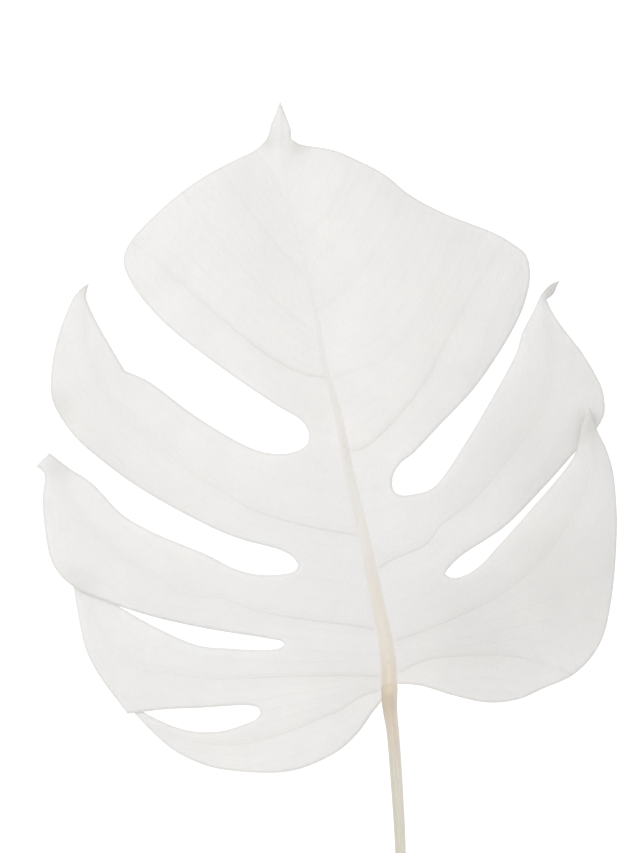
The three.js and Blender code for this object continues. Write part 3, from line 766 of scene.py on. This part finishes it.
def ring_faces(first, second):
    """Quads between two rings of points, given by the number of each ring's first point."""
    faces = []
    for k in range(STALK_SIDES):
        n = (k + 1) % STALK_SIDES
        faces.append((first + k, second + k, second + n, first + n))
    return faces


def stalk_piece():
    """A tube with a shallow channel along its top, ringed wrinkles at the knuckle and a ragged cut end."""
    centres, sizes, runs, tangents, side, up = stalk_frames()
    random = np.random.default_rng(SEED)
    phase = random.uniform(0, 2 * math.pi, WAVE_PHASES)
    knuckle = smoothstep(centres[:, 1], KNUCKLE_END_Y, KNUCKLE_START_Y)
    turns = np.arange(STALK_SIDES) / STALK_SIDES * 2 * math.pi
    columns = []
    for turn in turns:
        channel = CHANNEL_DEPTH * bell(turn - math.pi / 2, CHANNEL_REACH) * (1 - knuckle)
        ridges = sum(RIDGE_HEIGHT * math.sin(n * turn + phase[n - RIDGE_COUNTS[0]]) for n in RIDGE_COUNTS)
        swing = runs * 2 * math.pi / WRINKLE_SPACING + WRINKLE_WAVER * math.sin(2 * turn + phase[0])
        wrinkle = WRINKLE_DEPTH * knuckle * np.sin(swing)
        size = sizes * (1 + ridges - channel + wrinkle + OVALNESS * math.cos(2 * turn))
        outward = side * math.cos(turn) + up * math.sin(turn)
        columns.append(centres + outward * size[:, None])
    rings = np.array(columns).transpose(1, 0, 2)
    rings[-1] += tangents[-1] * random.uniform(-CUT_RAGGEDNESS, CUT_RAGGEDNESS, STALK_SIDES)[:, None]

    cut_rings = []
    for number, share in enumerate(CUT_RINGS, start=1):
        ring = centres[-1] + (rings[-1] - centres[-1]) * share - tangents[-1] * CUT_SINK * number
        ring += tangents[-1] * random.uniform(-CUT_ROUGHNESS, CUT_ROUGHNESS, STALK_SIDES)[:, None]
        cut_rings.append(ring)
    hub_point = centres[-1] - tangents[-1] * CUT_DEPTH
    points = np.vstack([rings.reshape(-1, 3), *cut_rings, hub_point])

    faces = [tuple(range(STALK_SIDES))]
    for ring in range(1, len(rings) + len(cut_rings)):
        faces += ring_faces((ring - 1) * STALK_SIDES, ring * STALK_SIDES)
    hub = len(points) - 1
    last = hub - STALK_SIDES
    faces += [(last + k, hub, last + (k + 1) % STALK_SIDES) for k in range(STALK_SIDES)]

    outside = rings.shape[0] * STALK_SIDES
    added = len(points) - outside
    attributes = {
        "around": np.r_[np.tile(turns, len(rings)), np.zeros(added)],
        "down": np.r_[np.repeat(runs, STALK_SIDES), np.full(added, runs[-1])],
        "cut": np.r_[np.zeros(outside), np.ones(added)],
    }
    return mesh_object("stalk", points, faces, attributes)


# ---- Materials ----
class Shader:
    """A material's node tree, with short calls for the nodes used here."""

    def __init__(self, name):
        self.material = bpy.data.materials.new(name)
        self.material.use_nodes = True
        self.nodes = self.material.node_tree.nodes
        self.links = self.material.node_tree.links
        self.surface = self.nodes["Principled BSDF"]

    def feed(self, socket, value):
        if isinstance(value, bpy.types.NodeSocket):
            self.links.new(value, socket)
        else:
            socket.default_value = value

    def feed_colour(self, socket, value):
        self.feed(socket, value if isinstance(value, bpy.types.NodeSocket) else (*value, 1.0))

    def value(self, name):
        """A named value of the mesh."""
        node = self.nodes.new("ShaderNodeAttribute")
        node.attribute_name = name
        return node.outputs["Fac"]

    def place(self):
        return self.nodes.new("ShaderNodeTexCoord").outputs["Object"]

    def scaled(self, vector, by):
        node = self.nodes.new("ShaderNodeVectorMath")
        node.operation = "MULTIPLY"
        self.feed(node.inputs[0], vector)
        self.feed(node.inputs[1], by)
        return node.outputs[0]

    def vector(self, x, y, z=0.0):
        node = self.nodes.new("ShaderNodeCombineXYZ")
        for socket, part in zip(node.inputs, (x, y, z)):
            self.feed(socket, part)
        return node.outputs[0]

    def math(self, operation, a, b=0.0):
        node = self.nodes.new("ShaderNodeMath")
        node.operation = operation
        self.feed(node.inputs[0], a)
        self.feed(node.inputs[1], b)
        return node.outputs[0]

    def times(self, first, *others):
        for other in others:
            first = self.math("MULTIPLY", first, other)
        return first

    def plus(self, first, *others):
        for other in others:
            first = self.math("ADD", first, other)
        return first

    def step(self, value, low, high, out_low=0.0, out_high=1.0):
        """value from low to high becomes out_low to out_high, smoothly, and stays there beyond."""
        node = self.nodes.new("ShaderNodeMapRange")
        node.interpolation_type = "SMOOTHSTEP"
        keys = ("Value", "From Min", "From Max", "To Min", "To Max")
        for key, part in zip(keys, (value, low, high, out_low, out_high)):
            self.feed(node.inputs[key], part)
        return node.outputs["Result"]

    def noise(self, vector, scale, detail=3.0, roughness=0.55):
        node = self.nodes.new("ShaderNodeTexNoise")
        keys = ("Vector", "Scale", "Detail", "Roughness")
        for key, part in zip(keys, (vector, scale, detail, roughness)):
            self.feed(node.inputs[key], part)
        return node.outputs["Fac"]

    def cells(self, vector, scale, feature="DISTANCE_TO_EDGE", dimensions="2D"):
        node = self.nodes.new("ShaderNodeTexVoronoi")
        node.voronoi_dimensions = dimensions
        node.feature = feature
        self.feed(node.inputs["Vector"], vector)
        self.feed(node.inputs["Scale"], scale)
        return node.outputs["Distance"]

    def blend(self, share, a, b):
        node = self.nodes.new("ShaderNodeMix")
        node.data_type = "RGBA"
        self.feed(node.inputs[0], share)
        self.feed_colour(node.inputs[6], a)
        self.feed_colour(node.inputs[7], b)
        return node.outputs[2]

    def tint(self, colour, target, *shares):
        """colour moved toward target by the product of the shares."""
        return self.blend(self.times(*shares), colour, target)

    def bump(self, height, distance):
        node = self.nodes.new("ShaderNodeBump")
        node.inputs["Strength"].default_value = 1.0
        node.inputs["Distance"].default_value = distance
        self.feed(node.inputs["Height"], height)
        self.feed(self.surface.inputs["Normal"], node.outputs["Normal"])

    def translucency(self, weight, radius, scale):
        self.surface.inputs["Subsurface Weight"].default_value = weight
        self.surface.inputs["Subsurface Radius"].default_value = radius
        self.surface.inputs["Subsurface Scale"].default_value = scale


def vein_lines(s, place):
    """Shares of the fine veins down the middle of the lanes, and of the coarse and small net between them."""
    lane = s.plus(s.value("lane"), s.times(s.noise(place, 90.0), 0.5))
    off_middle = s.math("ABSOLUTE", s.math("SUBTRACT", s.math("FRACT", lane), 0.5))
    fine_vein = s.step(s.times(off_middle, s.value("lane_width")), 0.1, 0.6, 1.0, 0.0)
    # The net's cells are stretched along the fine veins
    net_place = s.vector(s.math("DIVIDE", s.value("along"), 3.4), s.times(lane, 2.6))
    net = s.step(s.cells(net_place, 1.0), 0.02, 0.13, 1.0, 0.0)
    small_net = s.step(s.cells(net_place, 2.7), 0.03, 0.16, 1.0, 0.0)
    return fine_vein, net, small_net


def side_vein_line(s):
    """Share of the side veins, which narrow and fade toward the margin."""
    width = s.value("vein_width")
    line = s.step(s.math("DIVIDE", s.value("vein"), s.plus(width, 0.02)), 0.3, 1.0, 1.0, 0.0)
    fade = s.times(s.step(s.value("rib_gap"), 10.0, 90.0, 1.0, 0.45), s.step(width, 0.05, 0.4))
    return s.times(line, fade)


def midrib_colour(s, fibres, rib_share, rib_band):
    """Tan at the knuckle, then cream, then pale, and grey where the midrib ends."""
    rib_tone = s.value("rib_tone")
    fibre_tone = s.step(fibres, 0.3, 0.7)
    pale = s.blend(fibre_tone, (0.765, 0.742, 0.71), (0.735, 0.712, 0.675))
    cream = s.blend(fibre_tone, (0.757, 0.702, 0.635), (0.727, 0.673, 0.60))
    colour = s.blend(s.step(rib_tone, 0.6, 0.85), pale, cream)
    colour = s.blend(s.step(rib_tone, 0.15, 0.6, 0.8, 0.0), colour, (0.71, 0.69, 0.665))
    colour = s.blend(s.step(rib_tone, 0.87, 1.0, 0.0, 0.95), colour, (0.665, 0.59, 0.475))
    # The right half stands in the shade of the rounded top, so it is made a little paler
    right_half = s.step(s.value("along"), 0.5 * SIDE_OFFSET, 0.75 * SIDE_OFFSET)
    colour = s.tint(colour, (0.82, 0.76, 0.68), right_half, s.step(rib_tone, 0.75, 0.95), 0.4)
    # Painted shade along both sides of the rounded midrib
    rib_side_painted_shade = s.times(s.step(rib_share, 0.55, 0.9), rib_band)
    return s.tint(colour, (0.65, 0.60, 0.54), rib_side_painted_shade, 0.2)


def blade_material():
    """Pale preserved leaf: warm and cool patches, cream midrib, impressed veins with a net between them."""
    s = Shader("blade_skin")
    place = s.place()
    fine_vein, net, small_net = vein_lines(s, place)
    side_vein = side_vein_line(s)
    vein_skirt = s.step(s.value("vein"), 0.6, 6.0, 1.0, 0.0)
    rib_share = s.math("DIVIDE", s.value("rib_gap"), s.plus(s.value("rib_half"), 0.35))
    rib_band = s.step(rib_share, 0.6, 1.2, 1.0, 0.0)
    off_rib = s.math("SUBTRACT", 1.0, rib_band)
    patches = s.step(s.noise(place, 14.0, 2.0), 0.35, 0.65)
    clouds = s.step(s.noise(place, 55.0, 4.0), 0.3, 0.7)
    grain = s.noise(place, 1400.0, 4.0, 0.7)
    fibres = s.noise(s.scaled(place, (2600.0, 70.0, 400.0)), 1.0, 3.0)

    dull = (0.61, 0.585, 0.55)
    edge_and_painted_shade_grey = (0.60, 0.585, 0.565)
    colour = s.blend(patches, (0.782, 0.768, 0.757), (0.768, 0.766, 0.762))
    colour = s.tint(colour, (0.725, 0.72, 0.71), clouds, 0.3)
    colour = s.tint(colour, (0.63, 0.61, 0.585), grain, 0.06)
    colour = s.tint(colour, dull, small_net, 0.03)
    colour = s.tint(colour, dull, net, 0.04)
    colour = s.tint(colour, (0.61, 0.585, 0.54), fine_vein, 0.06)
    colour = s.tint(colour, (0.69, 0.67, 0.64), vein_skirt, 0.08)
    colour = s.tint(colour, (0.53, 0.49, 0.44), side_vein, 0.16)
    # Painted shade: the greyed spots and broad areas stand in for shade on the sheet
    colour = s.tint(colour, edge_and_painted_shade_grey, s.value("painted_shade"), 0.9)
    rib_cover = s.step(s.value("rib_tone"), 0.0, 0.5, 0.1, 0.95)
    colour = s.tint(colour, midrib_colour(s, fibres, rib_share, rib_band), rib_band, rib_cover)
    # A grey rim along the margin, off the midrib: partly the sheet's own thin edge, partly painted shade of
    # the turned-down margins
    colour = s.tint(colour, edge_and_painted_shade_grey, s.step(s.value("edge"), 0.2, 1.6, 0.35, 0.0), off_rib)
    s.feed(s.surface.inputs["Base Color"], colour)

    rough = s.plus(0.55, s.times(clouds, 0.1), s.times(net, 0.05), s.times(rib_band, 0.1))
    s.feed(s.surface.inputs["Roughness"], rough)
    s.surface.inputs["Specular IOR Level"].default_value = 0.3
    s.translucency(0.4, (1.0, 0.97, 0.93), 0.001)

    # Veins are impressed above and raised below
    lines = s.plus(
        s.times(side_vein, 0.9), s.times(fine_vein, 0.25), s.times(net, 0.2), s.times(small_net, 0.12)
    )
    lines = s.times(lines, off_rib, s.value("facing"))
    height = s.math("SUBTRACT", s.times(grain, 0.3), lines)
    s.bump(s.plus(height, s.times(fibres, rib_band, 0.5)), 0.0001)
    return s.material


def stalk_material():
    """Dry fibrous stalk, darker and redder at the knuckle, with long streaks and a dotted cut end."""
    s = Shader("stalk_skin")
    place = s.place()
    down = s.value("down")
    across = s.math("COSINE", s.value("around"))  # from -1 at the right to 1 at the left
    upward = s.math("SINE", s.value("around"))
    ring = s.vector(s.times(across, 3.0), s.times(upward, 3.0), s.times(down, 0.035))
    streaks = s.noise(ring, 1.0, 5.0, 0.6)
    fine = s.noise(s.scaled(ring, (3.5, 3.5, 6.0)), 1.0, 4.0, 0.65)
    grain = s.noise(place, 1800.0, 3.0)
    dome = s.step(down, 0.5, 5.0, 1.0, 0.0)
    knuckle = s.step(down, 9.0, 19.0, 1.0, 0.0)
    neck = s.step(down, 16.0, 46.0, 1.0, 0.0)
    off_streak = s.math("ABSOLUTE", s.plus(across, 0.3))
    streak_length = s.times(s.step(down, 10.0, 16.0), s.step(down, 24.0, 42.0, 1.0, 0.0))

    colour = s.blend(s.step(streaks, 0.35, 0.65), (0.73, 0.70, 0.61), (0.65, 0.615, 0.525))
    colour = s.tint(colour, (0.64, 0.59, 0.49), s.step(fine, 0.45, 0.62), 0.3)
    colour = s.tint(colour, (0.68, 0.585, 0.495), neck, 0.5)
    colour = s.tint(colour, (0.60, 0.505, 0.375), knuckle, 0.7)
    # The knuckle's rounded end: its own tan, made lighter as painted light against the shade on its tilted
    # top
    colour = s.tint(colour, (0.72, 0.63, 0.50), dome, 0.9)
    # Darker down the left side, and a painted highlight down the right side
    colour = s.tint(colour, (0.54, 0.50, 0.40), s.step(across, -0.1, 0.8), 0.4)
    colour = s.tint(colour, (0.80, 0.76, 0.69), s.step(across, -0.25, -0.9), 0.55)
    colour = s.tint(colour, (0.70, 0.52, 0.40), s.step(off_streak, 0.1, 0.4, 1.0, 0.0), streak_length, 0.45)
    colour = s.tint(colour, (0.42, 0.32, 0.22), s.step(s.noise(place, 700.0, 1.0), 0.74, 0.80), 0.3)
    bundles = s.step(s.cells(place, 1500.0, "F1", "3D"), 0.3, 0.45, 1.0, 0.0)
    cut_colour = s.blend(bundles, (0.52, 0.44, 0.31), (0.25, 0.18, 0.11))
    s.feed(s.surface.inputs["Base Color"], s.blend(s.value("cut"), colour, cut_colour))

    s.feed(s.surface.inputs["Roughness"], s.step(streaks, 0.3, 0.7, 0.55, 0.72))
    s.surface.inputs["Specular IOR Level"].default_value = 0.35
    s.translucency(0.1, (1.0, 0.8, 0.6), 0.002)
    s.bump(s.plus(s.times(streaks, 0.5), s.times(fine, 1.1), s.times(grain, 0.3)), 0.00025)
    return s.material


# ---- The leaf in the CAD's place ----
def corners(piece):
    points = np.array([vertex.co for vertex in piece.data.vertices])
    return points.min(0), points.max(0)


def place_on_frame(blade, stalk):
    """Moves both pieces from the drawing's origin to the CAD's, and returns the move."""
    own_low, own_high = corners(blade)
    cad_low, cad_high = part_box("leaf_blade")
    stalk_low, _ = corners(stalk)
    move = Vector((0, 0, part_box("petiole")[0].z - stalk_low[2]))
    for k in (0, 1):
        move[k] = (cad_low[k] + cad_high[k] - own_low[k] - own_high[k]) / 2
    for piece in (blade, stalk):
        piece.data.transform(Matrix.Translation(move))
        piece.data.update()
    return move


def finish_piece(piece, node, material):
    piece.data.materials.append(material)
    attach(piece, "root")
    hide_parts(node)


blade = blade_piece()
stalk = stalk_piece()
joint = place_on_frame(blade, stalk)
finish_piece(blade, "leaf_blade", blade_material())
finish_piece(stalk, "petiole", stalk_material())


# ---- Floor, light and camera ----
VIEW_CENTRE = (-34.0, 131.8, 12.0)  # the middle of the view, from the joint
VIEW_HEIGHT = 426.5
LENS = 180.0
SENSOR = 36.0
KEY_PLACE = (-0.9, 0.7, 2.85)
KEY_SIZE = 1.6
KEY_POWER = 39.5
SURROUNDINGS = 0.71
FLOOR_SIZE = 12.0
FLOOR_TONE = 0.36
FLOOR_GLOW = 0.8


def floor():
    """A pale floor that glows like a light table, so that the gaps between the lobes stay bright."""
    bpy.ops.mesh.primitive_plane_add(size=FLOOR_SIZE)
    plane = bpy.context.object
    plane.name = "floor"
    s = Shader("floor")
    s.feed_colour(s.surface.inputs["Base Color"], (FLOOR_TONE, FLOOR_TONE, FLOOR_TONE))
    s.feed_colour(s.surface.inputs["Emission Color"], (1, 1, 1))
    s.surface.inputs["Emission Strength"].default_value = FLOOR_GLOW
    s.surface.inputs["Roughness"].default_value = 0.9
    s.surface.inputs["Specular IOR Level"].default_value = 0.1
    plane.data.materials.append(s.material)


def studio(target):
    """White surroundings and one large soft light."""
    world = bpy.data.worlds.new("studio")
    bpy.context.scene.world = world
    world.use_nodes = True
    background = world.node_tree.nodes["Background"]
    background.inputs["Color"].default_value = (1, 1, 1, 1)
    background.inputs["Strength"].default_value = SURROUNDINGS
    data = bpy.data.lights.new("key", "AREA")
    data.shape = "DISK"
    data.size = KEY_SIZE
    data.energy = KEY_POWER
    lamp = bpy.data.objects.new("key", data)
    lamp.location = KEY_PLACE
    lamp.rotation_euler = (target - Vector(KEY_PLACE)).to_track_quat("-Z", "Y").to_euler()
    bpy.context.scene.collection.objects.link(lamp)


def camera(centre):
    """A camera that looks straight down on the leaf."""
    data = bpy.data.cameras.new("camera")
    data.lens = LENS
    data.sensor_width = SENSOR
    data.clip_end = 50
    made = bpy.data.objects.new("camera", data)
    made.location = centre + Vector((0, 0, LENS / SENSOR * VIEW_HEIGHT * MM))
    bpy.context.scene.collection.objects.link(made)
    bpy.context.scene.camera = made


view_centre = joint + Vector(VIEW_CENTRE) * MM
floor()
studio(view_centre)
camera(view_centre)
bpy.context.scene.view_settings.view_transform = "Standard"
